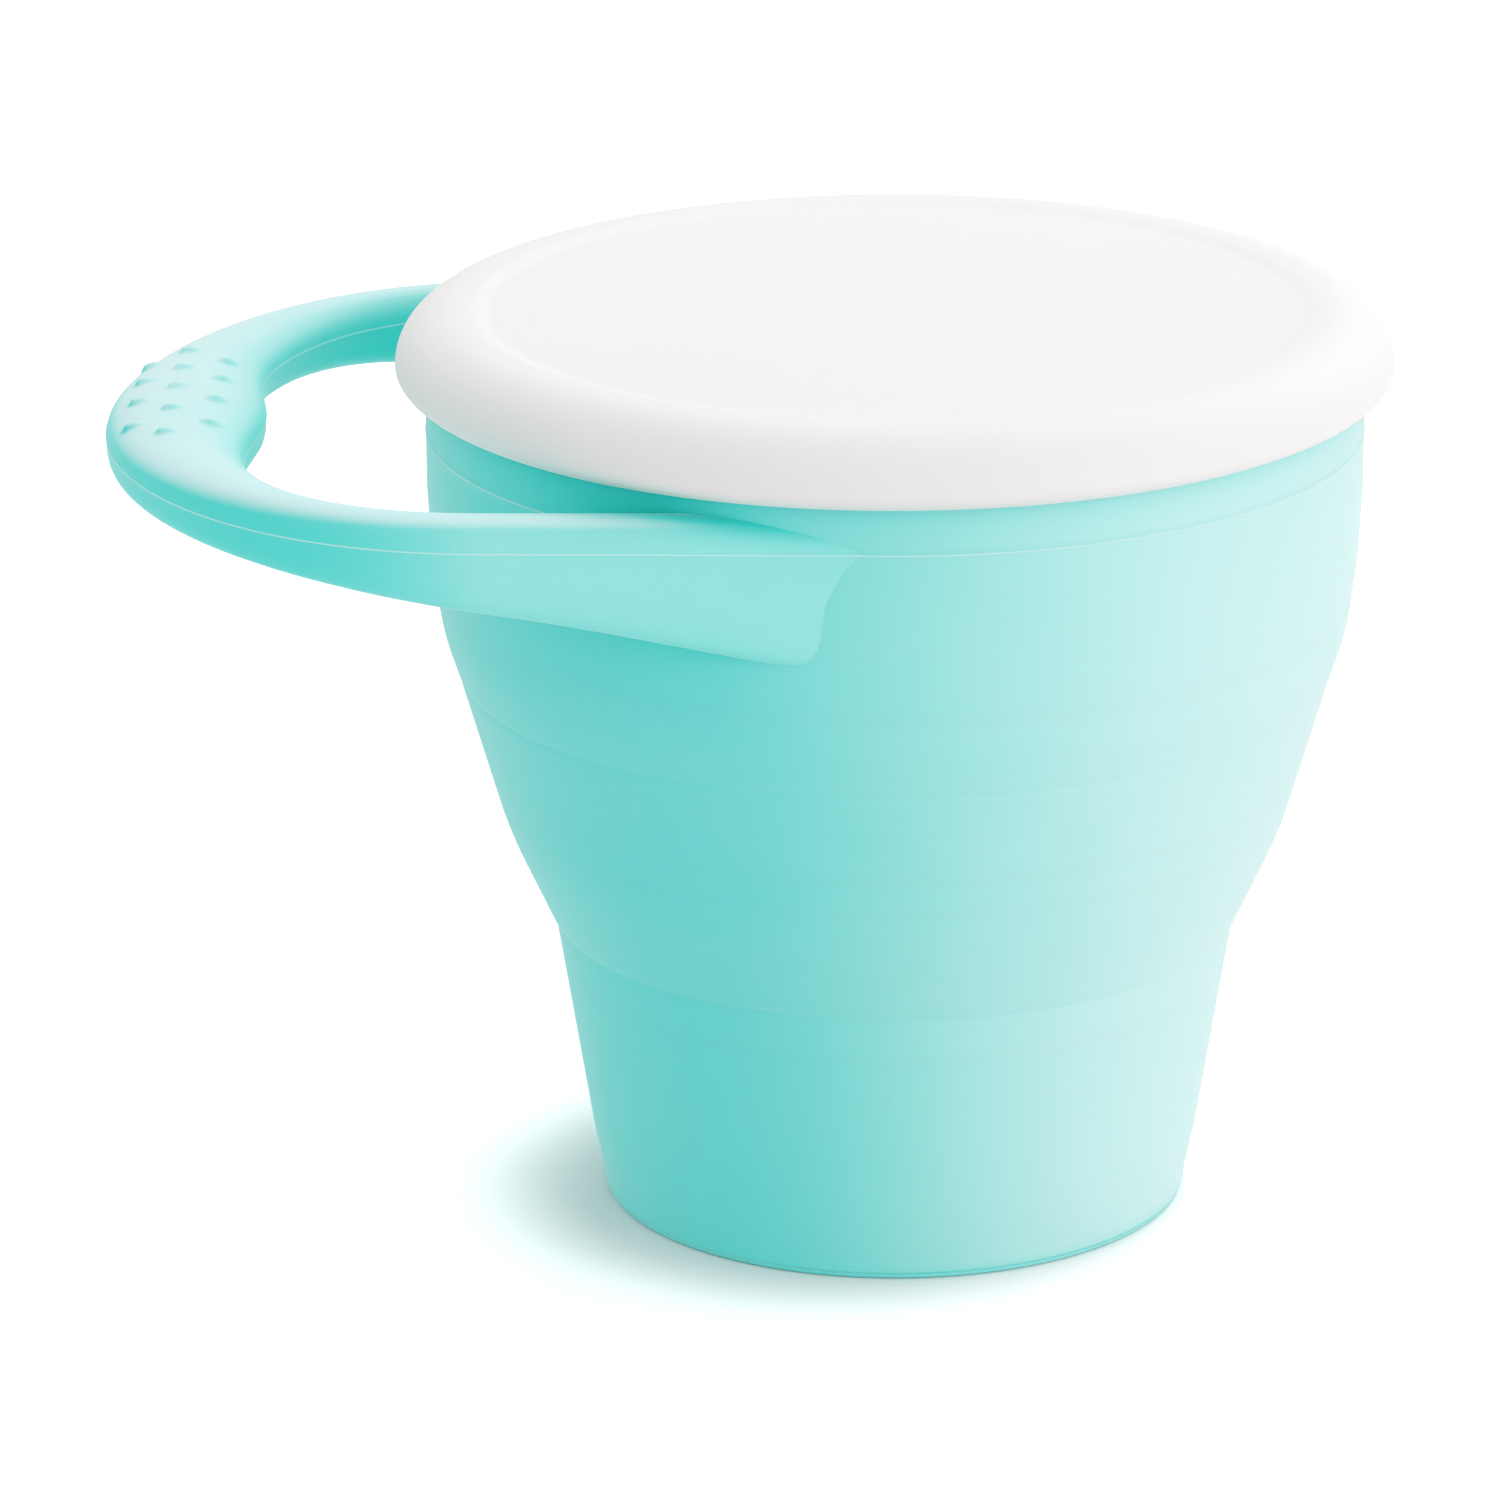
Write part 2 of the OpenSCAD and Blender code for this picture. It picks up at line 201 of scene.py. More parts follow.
def makePowderAndPaintedLight():
    # a paler colour mixed into the skin: painted light on faces that look up or to the lit side, and powder
    # in soft clouds and an even share; one input thins it all, for painted shade where other surfaces stand
    # close
    group = makeGroup(
        "powderAndPaintedLight",
        [("Skin Colour", "Color"), ("Powder Colour", "Color"),
         ("Up Amount", "Float"), ("Side Amount", "Float"), ("Cloud Amount", "Float"),
         ("Shelter", "Float"), ("Up From", "Float"), ("Base Amount", "Float")],
        [("Colour", "Color"), ("Mask", "Float")])
    ins = addNode(group, "NodeGroupInput", (-1000, 0))
    outs = addNode(group, "NodeGroupOutput", (700, 0))
    place = addNode(group, "ShaderNodeTexCoord", (-1000, -300))
    split = addNode(group, "ShaderNodeSeparateXYZ", (-800, -300))
    up = addNode(group, "ShaderNodeMapRange", (-600, -300), interpolation_type="SMOOTHSTEP")
    up.inputs["From Max"].default_value = powderAndLightShape["litTopFull"]
    side = addNode(group, "ShaderNodeMapRange", (-600, -100), interpolation_type="SMOOTHSTEP")
    setRun(side, powderAndLightShape["litSideRun"])
    cloud = addNode(
        group, "ShaderNodeTexNoise", (-600, -600), Scale=powderAndLightShape["cloudScale"], Detail=4.0, Roughness=0.55)
    spread = addNode(group, "ShaderNodeMapRange", (-400, -600))
    setRun(spread, powderAndLightShape["cloudRun"])
    litTopPart = addNode(group, "ShaderNodeMath", (-300, -200), operation="MULTIPLY")
    litSidePart = addNode(group, "ShaderNodeMath", (-300, -50), operation="MULTIPLY")
    cloudPart = addNode(group, "ShaderNodeMath", (-150, -500), operation="MULTIPLY")
    litFaces = addNode(group, "ShaderNodeMath", (-150, -150), operation="MAXIMUM")
    patchy = addNode(group, "ShaderNodeMath", (0, -500), operation="ADD")
    total = addNode(group, "ShaderNodeMath", (50, -300), operation="ADD", use_clamp=True)
    mask = addNode(group, "ShaderNodeMath", (200, -200), operation="MULTIPLY")
    mix = addNode(group, "ShaderNodeMix", (350, 0), data_type="RGBA")
    link = group.links.new
    link(place.outputs["Normal"], split.inputs[0])
    link(split.outputs["Z"], up.inputs["Value"])
    link(ins.outputs["Up From"], up.inputs["From Min"])
    link(split.outputs["X"], side.inputs["Value"])
    link(place.outputs["Object"], cloud.inputs["Vector"])
    link(cloud.outputs["Fac"], spread.inputs["Value"])
    link(up.outputs["Result"], litTopPart.inputs[0])
    link(ins.outputs["Up Amount"], litTopPart.inputs[1])
    link(side.outputs["Result"], litSidePart.inputs[0])
    link(ins.outputs["Side Amount"], litSidePart.inputs[1])
    link(spread.outputs["Result"], cloudPart.inputs[0])
    link(ins.outputs["Cloud Amount"], cloudPart.inputs[1])
    link(litTopPart.outputs[0], litFaces.inputs[0])
    link(litSidePart.outputs[0], litFaces.inputs[1])
    link(cloudPart.outputs[0], patchy.inputs[0])
    link(ins.outputs["Base Amount"], patchy.inputs[1])
    link(litFaces.outputs[0], total.inputs[0])
    link(patchy.outputs[0], total.inputs[1])
    link(total.outputs[0], mask.inputs[0])
    link(ins.outputs["Shelter"], mask.inputs[1])
    link(mask.outputs[0], mix.inputs[0])
    link(ins.outputs["Skin Colour"], mix.inputs[mixFrom])
    link(ins.outputs["Powder Colour"], mix.inputs[mixTo])
    link(mix.outputs[mixed], outs.inputs["Colour"])
    link(mask.outputs[0], outs.inputs["Mask"])
    return group


def makeSeamHighlight():
    # painted highlight: a thin pale line at one height, on the ridge where the two halves of the mould met
    group = makeGroup(
        "seamHighlight",
        [("Skin Colour", "Color"), ("Line Colour", "Color"), ("Height", "Float", seam["z"] * mm),
         ("Width", "Float", seam["highlightHalf"] * mm), ("Amount", "Float")],
        [("Colour", "Color")])
    ins = addNode(group, "NodeGroupInput", (-1000, 0))
    outs = addNode(group, "NodeGroupOutput", (600, 0))
    place = addNode(group, "ShaderNodeTexCoord", (-1000, -300))
    split = addNode(group, "ShaderNodeSeparateXYZ", (-800, -300))
    above = addNode(group, "ShaderNodeMath", (-600, -300), operation="SUBTRACT")
    away = addNode(group, "ShaderNodeMath", (-450, -300), operation="ABSOLUTE")
    fade = addNode(group, "ShaderNodeMapRange", (-250, -300), interpolation_type="SMOOTHSTEP")
    setRun(fade, (1.0, 0.0), "To")
    share = addNode(group, "ShaderNodeMath", (0, -200), operation="MULTIPLY")
    mix = addNode(group, "ShaderNodeMix", (300, 0), data_type="RGBA")
    link = group.links.new
    link(place.outputs["Object"], split.inputs[0])
    link(split.outputs["Z"], above.inputs[0])
    link(ins.outputs["Height"], above.inputs[1])
    link(above.outputs[0], away.inputs[0])
    link(away.outputs[0], fade.inputs["Value"])
    link(ins.outputs["Width"], fade.inputs["From Max"])
    link(fade.outputs["Result"], share.inputs[0])
    link(ins.outputs["Amount"], share.inputs[1])
    link(share.outputs[0], mix.inputs[0])
    link(ins.outputs["Skin Colour"], mix.inputs[mixFrom])
    link(ins.outputs["Line Colour"], mix.inputs[mixTo])
    link(mix.outputs[mixed], outs.inputs["Colour"])
    return group


def makeFinish(name, look):
    finish = bpy.data.materials.new(name)
    finish.use_nodes = True
    tree = finish.node_tree
    tree.nodes.clear()
    link = tree.links.new
    out = addNode(tree, "ShaderNodeOutputMaterial", (700, 0))
    skin = addNode(tree, "ShaderNodeBsdfPrincipled", (350, 0))
    powderAndLight = addNode(tree, "ShaderNodeGroup", (-300, 150), node_tree=powderAndPaintedLight)
    grain = addNode(tree, "ShaderNodeGroup", (-500, -300), node_tree=fineGrain)
    bump = addNode(tree, "ShaderNodeBump", (50, -300))
    rough = addNode(tree, "ShaderNodeMapRange", (0, 0))
    occlusion = addNode(tree, "ShaderNodeAmbientOcclusion", (-800, 150), samples=6)
    unshaded = addNode(tree, "ShaderNodeMapRange", (-550, 150))
    settings = (
        (occlusion, "Distance", "paintedShadeReach"),
        (powderAndLight, "Up Amount", "litTopAmount"), (powderAndLight, "Up From", "litTopFrom"), (powderAndLight, "Side Amount", "litSideAmount"),
        (powderAndLight, "Cloud Amount", "cloudAmount"), (powderAndLight, "Base Amount", "baseAmount"),
        (grain, "Grain Scale", "grainScale"), (grain, "Ripple Scale", "rippleScale"),
        (grain, "Ripple Share", "rippleShare"),
        (bump, "Strength", "bumpStrength"), (bump, "Distance", "bumpDistance"),
        (skin, "IOR", "ior"), (skin, "Specular IOR Level", "specular"),
        (skin, "Sheen Weight", "sheen"), (skin, "Sheen Roughness", "sheenRoughness"),
        (skin, "Subsurface Weight", "glow"), (skin, "Subsurface Radius", "glowRadius"),
        (skin, "Subsurface Scale", "glowScale"),
    )
    for node, socket, key in settings:
        node.inputs[socket].default_value = look[key]
    powderAndLight.inputs["Skin Colour"].default_value = (*look["colour"], 1)
    powderAndLight.inputs["Powder Colour"].default_value = (*look["powderAndLitColour"], 1)
    setRun(unshaded, look["paintedShadeRun"])
    setRun(rough, look["roughness"], "To")
    # painted shade: where other surfaces stand close, found by ambient occlusion, the paler colour is thinned
    # and the skin stays deeper
    link(occlusion.outputs["AO"], unshaded.inputs["Value"])
    link(unshaded.outputs["Result"], powderAndLight.inputs["Shelter"])
    # painted highlight: a pale line along the parting ridge
    if "seamHighlightAmount" in look:
        line = addNode(tree, "ShaderNodeGroup", (50, 250), node_tree=seamHighlight)
        line.inputs["Line Colour"].default_value = (*look["powderAndLitColour"], 1)
        line.inputs["Amount"].default_value = look["seamHighlightAmount"]
        link(powderAndLight.outputs["Colour"], line.inputs["Skin Colour"])
        link(line.outputs["Colour"], skin.inputs["Base Color"])
    else:
        link(powderAndLight.outputs["Colour"], skin.inputs["Base Color"])
    if "shadeTint" in look:
        # painted shade: in sheltered places, found by ambient occlusion, the gloss is tinted to the
        # silicone's own colour, in place of light thrown back and forth
        deep = addNode(tree, "ShaderNodeMapRange", (-200, 500))
        setRun(deep, look["shadeRun"])
        tint = addNode(tree, "ShaderNodeMix", (50, 500), data_type="RGBA")
        tint.inputs[mixFrom].default_value = (*look["shadeTint"], 1)
        tint.inputs[mixTo].default_value = (1, 1, 1, 1)
        link(occlusion.outputs["AO"], deep.inputs["Value"])
        link(deep.outputs["Result"], tint.inputs[0])
        link(tint.outputs[mixed], skin.inputs["Specular Tint"])
    link(powderAndLight.outputs["Mask"], rough.inputs["Value"])
    link(rough.outputs["Result"], skin.inputs["Roughness"])
    link(grain.outputs["Height"], bump.inputs["Height"])
    link(bump.outputs["Normal"], skin.inputs["Normal"])
    link(skin.outputs[0], out.inputs["Surface"])
    return finish


fineGrain = makeFineGrain()
powderAndPaintedLight = makePowderAndPaintedLight()
seamHighlight = makeSeamHighlight()

# in each look the top and side amounts pale the faces that look up and to the lit side, which is painted
# light, and the shelter settings keep close places deeper, which is painted shade; clouds and the even share
# are the powder's own
siliconeLook = {
    "colour": (0.02, 0.755, 0.705), "powderAndLitColour": (0.70, 0.87, 0.86),
    "baseAmount": 0.10, "litTopAmount": 0.64, "litTopFrom": 0.0, "litSideAmount": 0.69, "cloudAmount": 0.04,
    "paintedShadeReach": 0.003, "paintedShadeRun": (0.1, 0.7),
    "grainScale": 2600, "rippleScale": 140, "rippleShare": 0.8,
    "bumpStrength": 0.25, "bumpDistance": 0.00006,
    "roughness": (0.62, 0.72), "ior": 1.8, "specular": 0.5,
    "sheen": 0.4, "sheenRoughness": 0.45,
    "glow": 0.1, "glowRadius": (0.3, 1.0, 0.9), "glowScale": 0.0015,
}
foldLook = dict(siliconeLook, rippleScale=170, cloudAmount=0.05)
# the collar and the handle tint their gloss in sheltered places, which is painted shade, and carry the
# parting ridge's painted highlight
collarLook = dict(
    siliconeLook, paintedShadeReach=0.02, paintedShadeRun=(0.35, 0.9), seamHighlightAmount=0.75,
    shadeTint=(0.0, 1.0, 0.95), shadeRun=(0.45, 0.88))
handleLook = dict(
    siliconeLook, colour=(0.015, 0.775, 0.71), powderAndLitColour=(0.70, 0.91, 0.91),
    baseAmount=0.0, litTopAmount=0.85, litTopFrom=0.55, litSideAmount=1.04,
    paintedShadeReach=0.04, paintedShadeRun=(0.5, 0.95), seamHighlightAmount=0.75,
    shadeTint=(0.0, 1.0, 0.95), shadeRun=(0.45, 0.88))
guardLook = dict(siliconeLook, colour=(0.05, 0.68, 0.64), litSideAmount=0.1)
# the lid's top is paler where it looks up, which is painted light; its clouds are the plastic's own
lidLook = {
    "colour": (0.87, 0.855, 0.845), "powderAndLitColour": (0.92, 0.905, 0.89),
    "baseAmount": 0.0, "litTopAmount": 0.8, "litTopFrom": 0.0, "litSideAmount": 0.0, "cloudAmount": 0.2,
    "paintedShadeReach": 0.004, "paintedShadeRun": (0.25, 0.85),
    "grainScale": 3200, "rippleScale": 220, "rippleShare": 0.3,
    "bumpStrength": 0.2, "bumpDistance": 0.00005,
    "roughness": (0.55, 0.62), "ior": 1.47, "specular": 0.35,
    "sheen": 0.0, "sheenRoughness": 0.5,
    "glow": 0.12, "glowRadius": (1.0, 1.0, 1.0), "glowScale": 0.0012,
}
finishes = {
    "cup_silicone": makeFinish("cupSilicone", siliconeLook),
    "collar": makeFinish("collarSilicone", collarLook),
    "handle": makeFinish("handleSilicone", handleLook),
    "fold_silicone": makeFinish("foldSilicone", foldLook),
    "guard_silicone": makeFinish("guardSilicone", guardLook),
    "lid_plastic": makeFinish("lidPlastic", lidLook),
}
print("finishes made")


def dressPiece(piece, slot, finish=None):
    # the finish is the slot's own, unless another is named
    piece.data.materials.clear()
    piece.data.materials.append(finishes[finish or slot])


# Cup wall: one outer outline from the foot to the rim, cut into the sections that move

cupWall = {
    # (r, z, rounding) up the outside, in millimetres; the small steps near z 30 and z 57 are creases
    "corners": [
        (31.12, 2.0, 0), (32.15, 6.8, 30),
        (35.85, 29.6, 1.0), (35.86, 30.3, 0.3), (36.38, 30.95, 1.0),
        (41.0, 41.0, 45),
        (45.64, 56.9, 1.0), (45.68, 57.5, 0.3), (46.0, 58.1, 1.0),
        (47.5, 62.6, 24), (48.5, 70.5, 40), (48.9, 78.0, 30),
        (48.9, 88.4, 0.4), (49.5, 89.2, 0.4), (49.5, 91.6, 0),
    ],
    # the underside and the foot's small bead, from the axis to where the wall starts
    "foot": [
        (0, 0, 0), (30.7, 0, 0.15), (30.8, 0.34, 0.06),
        (30.66, 0.44, 0.05), (30.98, 0.66, 0.25), (31.12, 2.0, 0),
    ],
    "rim": [(49.5, 91.4, 0), (49.5, 92.0, 0.35), (46.9, 92.0, 0.3), (46.9, 91.2, 0)],
    # the inside just under the rim is straight, down to where it follows the outside
    "mouth": 46.9, "mouthHeights": (88.0, 84.0, 80.0), "mouthLow": 76.0,
    "wallLow": 2.0, "footCut": 25.5, "middleLow": 43.6, "middleTop": 47.6, "collarLow": 66.0,
    "stiffWall": 2.0, "thinWall": 1.0, "thinBands": [(27.5, 42.0), (49.0, 63.5)], "thinEase": 1.6,
    # inner floor, and the base's slope: how much the radius grows a millimetre, and the radius at z 0
    "floor": 2.6, "floorRounding": 4.0, "floorTurn": (-4, -90), "floorSteps": 12,
    "lean": (35.9 - 31.12) / 27.9, "leanFrom": 31.0,
    "turnStep": 1.2, "pointStep": 0.8, "pointGap": 0.12,
}
wallLine = softCorners(cupWall["corners"], turnStep=cupWall["turnStep"])


def outerRadius(z):
    for (r0, z0), (r1, z1) in zip(wallLine, wallLine[1:]):
        if z0 <= z <= z1:
            return r0 + (r1 - r0) * (z - z0) / max(z1 - z0, tiny)
    return wallLine[0][0] if z < wallLine[0][1] else wallLine[-1][0]


def ease(t):
    t = min(1, max(0, t))
    return t * t * (3 - 2 * t)


def wallThickness(z):
    thin = 0
    for low, high in cupWall["thinBands"]:
        thin = max(thin, ease((z - low) / cupWall["thinEase"]) * ease((high - z) / cupWall["thinEase"]))
    return cupWall["stiffWall"] + (cupWall["thinWall"] - cupWall["stiffWall"]) * thin


def wallStretch(low, high):
    # the outside from low to high; every bend of the line keeps its own points
    heights = [low, high] + [z for _, z in wallLine if low < z < high]
    count = math.ceil((high - low) / cupWall["pointStep"])
    heights += [low + (high - low) * k / count for k in range(1, count)]
    heights = sorted(heights)
    kept = [heights[0]]
    for z in heights[1:]:
        if z - kept[-1] > cupWall["pointGap"]:
            kept.append(z)
    kept[-1] = high
    return [(outerRadius(z), z) for z in kept]


def insideOf(stretch):
    return [(r - wallThickness(z), z) for r, z in reversed(stretch)]


def makeCupBase():
    c = cupWall
    wall = wallStretch(c["wallLow"], c["footCut"])
    outside = softCorners(c["foot"])[:-1] + wall
    rise = c["floorRounding"]
    floorEdge = c["leanFrom"] - c["stiffWall"] + c["lean"] * c["floor"]
    inside = [p for p in insideOf(wall) if p[1] > c["floor"] + rise]
    centre = (floorEdge + c["lean"] * rise - rise, c["floor"] + rise)
    floor = ellipseArc(centre, (rise, rise), *c["floorTurn"], c["floorSteps"])
    return turnOutline("cupBase", outside + inside + floor + [(0, c["floor"])])


def makeWallSection(name, low, high):
    outside = wallStretch(low, high)
    loop = outside + insideOf(outside)
    return turnOutline(name, loop + loop[:1])


def makeCupCollar():
    c = cupWall
    below = wallStretch(c["collarLow"], seam["z"] - seam["half"])
    r = outerRadius(seam["z"])
    ridge = [(r + seam["stand"] * out, seam["z"] - seam["half"] * along) for along, out in seam["ridge"]]
    above = wallStretch(seam["z"] + seam["half"], c["rim"][0][1])
    rim = softCorners(c["rim"])
    inside = [(c["mouth"], z) for z in c["mouthHeights"]]
    inside += insideOf(wallStretch(c["collarLow"], c["mouthLow"]))
    loop = below + ridge + above + rim[1:] + inside
    return turnOutline("cupCollar", loop + loop[:1])


cupBase = makeCupBase()
lowerFold = makeWallSection("lowerFold", cupWall["footCut"], cupWall["middleLow"])
cupMiddle = makeWallSection("cupMiddle", cupWall["middleLow"], cupWall["middleTop"])
upperFold = makeWallSection("upperFold", cupWall["middleTop"], cupWall["collarLow"])
cupCollar = makeCupCollar()
for piece in (cupBase, cupMiddle):
    dressPiece(piece, "cup_silicone")
dressPiece(cupCollar, "cup_silicone", "collar")
for piece in (lowerFold, upperFold):
    dressPiece(piece, "fold_silicone")
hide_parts("cup_base")
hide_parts("lower_fold_web")
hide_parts("cup_middle")
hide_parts("upper_fold_web")
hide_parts("cup_collar")
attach(cupBase, "base")
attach(cupMiddle, "middle")
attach(cupCollar, "collar")
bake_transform(lowerFold)
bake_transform(upperFold)
print("cup wall turned")


# Carry handle: one section pushed along the loop, with the parting line and the bumpy pad

handle = {
    # outline of the loop from above, in millimetres
    "reach": 82.2, "armStraight": 41.1, "outerY": 48.78, "bendY": 48.35,
    "gapY": 41.8, "gapSpan": 27.2, "gapPower": 2.4,
    # section: how far it stands over and under the parting line, and the powers that round it,
    # each from the arm's end to the grip
    "armEnd": 1.0, "wayStart": 5.0, "roundWay": 0.36, "draft": 0.066,
    "rise": 3.15, "gripDrop": 3.45, "endDrop": 13.35,
    "topPower": (2.2, 2.0), "lowPower": (7.6, 4.3),
    "padHalf": 19.8, "padSwell": 2.55, "padCrown": 0.5,
    # points round the section, and steps from one section to the next: along the arm, closer near its end,
    # then round the bend as (up to this angle, step)
    "topPoints": 70, "lowPoints": 34, "tries": 240,
    "endRun": 12, "endStep": 0.5, "armStep": 1.6,
    "bendSteps": ((150, 1.5), (153, 0.75), (179.95, 0.36)),
    # (r, z) of the body that is cut out of the arms' ends, inside the cup's wall
    "cutter": [(0, 60), (46.7, 60), (47.9, 72), (47.9, 90), (0, 90)],
    "smoothBelow": 50,
}
padBumps = {
    "rowX": (-78.95, -75.2, -70.9), "counts": (4, 5, 4), "pitch": 7.9, "shiftY": 0.8,
    "height": 0.55, "head": 1.0, "tail": 2.0, "half": 1.05, "pinch": 0.35, "flank": 1.15,
    # only points beyond this x, that look up at least this much and are this near a bump, are raised
    "fromX": -62, "lookUp": 0.15, "near": (3, 2),
}


def signedPower(value, power):
    return math.copysign(abs(value) ** power, value)


def padShare(y):
    return (1 + math.cos(math.pi * y / handle["padHalf"])) / 2 if abs(y) < handle["padHalf"] else 0


def handleSection(outer, inner):
    # the ring of points of one section, evenly spread, with the parting line's ridge on both sides
    h = handle
    mid = ((outer[0] + inner[0]) / 2, (outer[1] + inner[1]) / 2)
    half = ((outer[0] - inner[0]) / 2, (outer[1] - inner[1]) / 2)
    flat = math.hypot(*half)
    way = max(0, (-outer[0] - h["wayStart"]) / (h["reach"] - h["wayStart"]))
    grip = min(1, way / h["roundWay"])
    topPower = h["topPower"][0] + (h["topPower"][1] - h["topPower"][0]) * grip
    lowPower = h["lowPower"][0] + (h["lowPower"][1] - h["lowPower"][0]) * grip
    drop = h["endDrop"] - (h["endDrop"] - h["gripDrop"]) * math.sin(math.pi / 2 * way)
    rise = h["rise"] + (h["padCrown"] * padShare(mid[1]) if outer[0] < -h["armStraight"] else 0)

    def at(angle, out=0.0):
        # widest at the parting line, round above it and boxy below it
        power = topPower if math.sin(angle) >= 0 else lowPower
        across = signedPower(math.cos(angle), 2 / power)
        up = signedPower(math.sin(angle), 2 / power) * (rise if math.sin(angle) >= 0 else drop)
        draft = h["draft"] * (1 - grip) * min(0, up) * max(0, across)
        k = across + (math.copysign(out, across) + draft) / flat
        return Vector((mid[0] + half[0] * k, mid[1] + half[1] * k, seam["z"] + up)) * mm

    def angleAt(up):
        power, reach = (topPower, rise) if up >= 0 else (lowPower, drop)
        return math.asin(signedPower(up / reach, power / 2))

    def evenly(start, stop, count):
        last = h["tries"]
        shares = [(1 - math.cos(math.pi * k / last)) / 2 for k in range(last + 1)]
        places = [at(start + (stop - start) * share) for share in shares]
        walked = [0]
        for a, b in zip(places, places[1:]):
            walked.append(walked[-1] + (b - a).length)
        result, k = [], 0
        for i in range(count):
            want = walked[-1] * i / (count - 1)
            while k < last - 1 and walked[k + 1] < want:
                k += 1
            share = (want - walked[k]) / max(walked[k + 1] - walked[k], tiny)
            result.append(places[k].lerp(places[k + 1], share))
        return result

    above, below = angleAt(seam["half"]), angleAt(-seam["half"])
    crest = [(angleAt(seam["half"] * along), seam["stand"] * out) for along, out in seam["ridge"]]
    ring = evenly(above, math.pi - above, h["topPoints"])
    ring += [at(math.pi - a, out) for a, out in crest]
    ring += evenly(math.pi - below, 2 * math.pi + below, h["lowPoints"])
    ring += [at(a, out) for a, out in reversed(crest)]
    return ring


def handleStations():
    # (outer, inner) ends of each section, along one arm, round the bend and back along the other arm
    h = handle
    stations = []
    x = -h["armEnd"]
    while x > -h["armStraight"]:
        taper = ease(-x / h["armStraight"])
        stations.append(((x, h["outerY"] + (h["bendY"] - h["outerY"]) * taper), (x, h["gapY"])))
        x -= h["endStep"] if x > -h["endRun"] else h["armStep"]
    angle = 90.0
    while angle < h["bendSteps"][-1][0]:
        a = math.radians(angle)
        outer = (-h["armStraight"] + (h["reach"] - h["armStraight"]) * math.cos(a), h["bendY"] * math.sin(a))
        gapX = -h["armStraight"] + h["gapSpan"] * signedPower(math.cos(a), 2 / h["gapPower"])
        gapY = h["gapY"] * signedPower(math.sin(a), 2 / h["gapPower"])
        stations.append((outer, (gapX - h["padSwell"] * padShare(gapY) * math.cos(a), gapY)))
        angle += next(step for limit, step in h["bendSteps"] if angle < limit)
    tip = [((-h["reach"], 0.0), (-h["armStraight"] - h["gapSpan"] + h["padSwell"], 0.0))]
    return stations + tip + [((o[0], -o[1]), (i[0], -i[1])) for o, i in reversed(stations)]


def makeCarryHandle():
    rings = [handleSection(*station) for station in handleStations()]
    startFresh()
    bpy.ops.mesh.primitive_circle_add(vertices=len(rings[0]), radius=mm, fill_type="NOTHING")
    piece = bpy.context.object
    piece.name = piece.data.name = "carryHandle"
    bpy.ops.object.mode_set(mode="EDIT")
    mesh = bmesh.from_edit_mesh(piece.data)
    turn = mesh.verts.layers.int.new("turn")
    for i, vert in enumerate(mesh.verts):
        vert[turn] = i
    bpy.ops.mesh.select_all(action="SELECT")
    for i, ring in enumerate(rings):
        if i:
            bpy.ops.mesh.extrude_region_move()
        mesh = bmesh.from_edit_mesh(piece.data)
        turn = mesh.verts.layers.int["turn"]
        for vert in mesh.verts:
            if vert.select:
                vert.co = ring[vert[turn]]
    # close both ends; they lie inside the cup's wall
    bpy.ops.mesh.edge_face_add()
    bpy.ops.mesh.select_all(action="DESELECT")
    bpy.ops.mesh.select_non_manifold(extend=False)
    bpy.ops.mesh.edge_face_add()
    bpy.ops.mesh.select_all(action="SELECT")
    bpy.ops.mesh.normals_make_consistent(inside=False)
    bpy.ops.object.mode_set(mode="OBJECT")
    raisePadBumps(piece)
    cutter = turnOutline("collarCutter", handle["cutter"])
    startFresh()
    piece.select_set(True)
    bpy.context.view_layer.objects.active = piece
    bpy.ops.object.modifier_add(type="BOOLEAN")
    cut = piece.modifiers[-1]
    cut.operation, cut.solver, cut.object = "DIFFERENCE", "EXACT", cutter
    bpy.ops.object.modifier_apply(modifier=cut.name)
    bpy.data.objects.remove(cutter)
    bpy.ops.object.shade_smooth_by_angle(angle=math.radians(handle["smoothBelow"]))
    return piece


def raisePadBumps(piece):
    b = padBumps
    places = []
    for x, count in zip(b["rowX"], b["counts"]):
        for i in range(count):
            places.append((x, b["shiftY"] + (i - (count - 1) / 2) * b["pitch"]))
    moved = []
    for vert in piece.data.vertices:
        x, y, z = vert.co / mm
        if x > b["fromX"] or vert.normal.z < b["lookUp"]:
            continue
        lift = 0
        for px, py in places:
            dx, dy = x - px, y - py
            if abs(dx) > b["near"][0] or abs(dy) > b["near"][1]:
                continue
            # a drop shape: blunt towards the tip of the loop, narrower towards its gap
            along = dx / (b["tail"] if dx > 0 else b["head"])
            across = dy / (b["half"] * (1 - b["pinch"] * max(0, min(1, along))))
            lift = max(lift, b["height"] * ease(b["flank"] * (1 - math.hypot(along, across))))
        if lift:
            moved.append((vert, vert.co + vert.normal * (lift * mm)))
    for vert, place in moved:
        vert.co = place


carryHandle = makeCarryHandle()
dressPiece(carryHandle, "cup_silicone", "handle")
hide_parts("carry_handle")
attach(carryHandle, "collar")
print("handle pushed along its loop,", len(carryHandle.data.polygons), "faces")


# Lid: one outline from the sunk panel over the soft edge and back under to the seal ring

lid = {
    "top": 96.5, "radius": 52.0, "thick": 2.0,
    "panelDepth": 0.38, "panelEdge": 43.2, "panelFoot": -0.9, "panelHead": 0.7, "panelRounding": 4,
    "wide": 90.8, "shoulder": (6.54, 5.7), "shoulderSteps": 24,
    "hem": (6.54, 2.77), "hemTurn": -46.5, "hemSteps": 12,
    # corners where the hem meets the skirt: r from skirtInside, z from the hem's end, rounding
    "hemCorners": ((0.05, -0.02, 0.05), (0, 0.15, 0.1)),
    "skirtInside": 49.85, "underside": 93.5, "sealOut": 45.0, "sealIn": 43.5, "sealLow": 89.05,
    "spinSteps": 224,
}


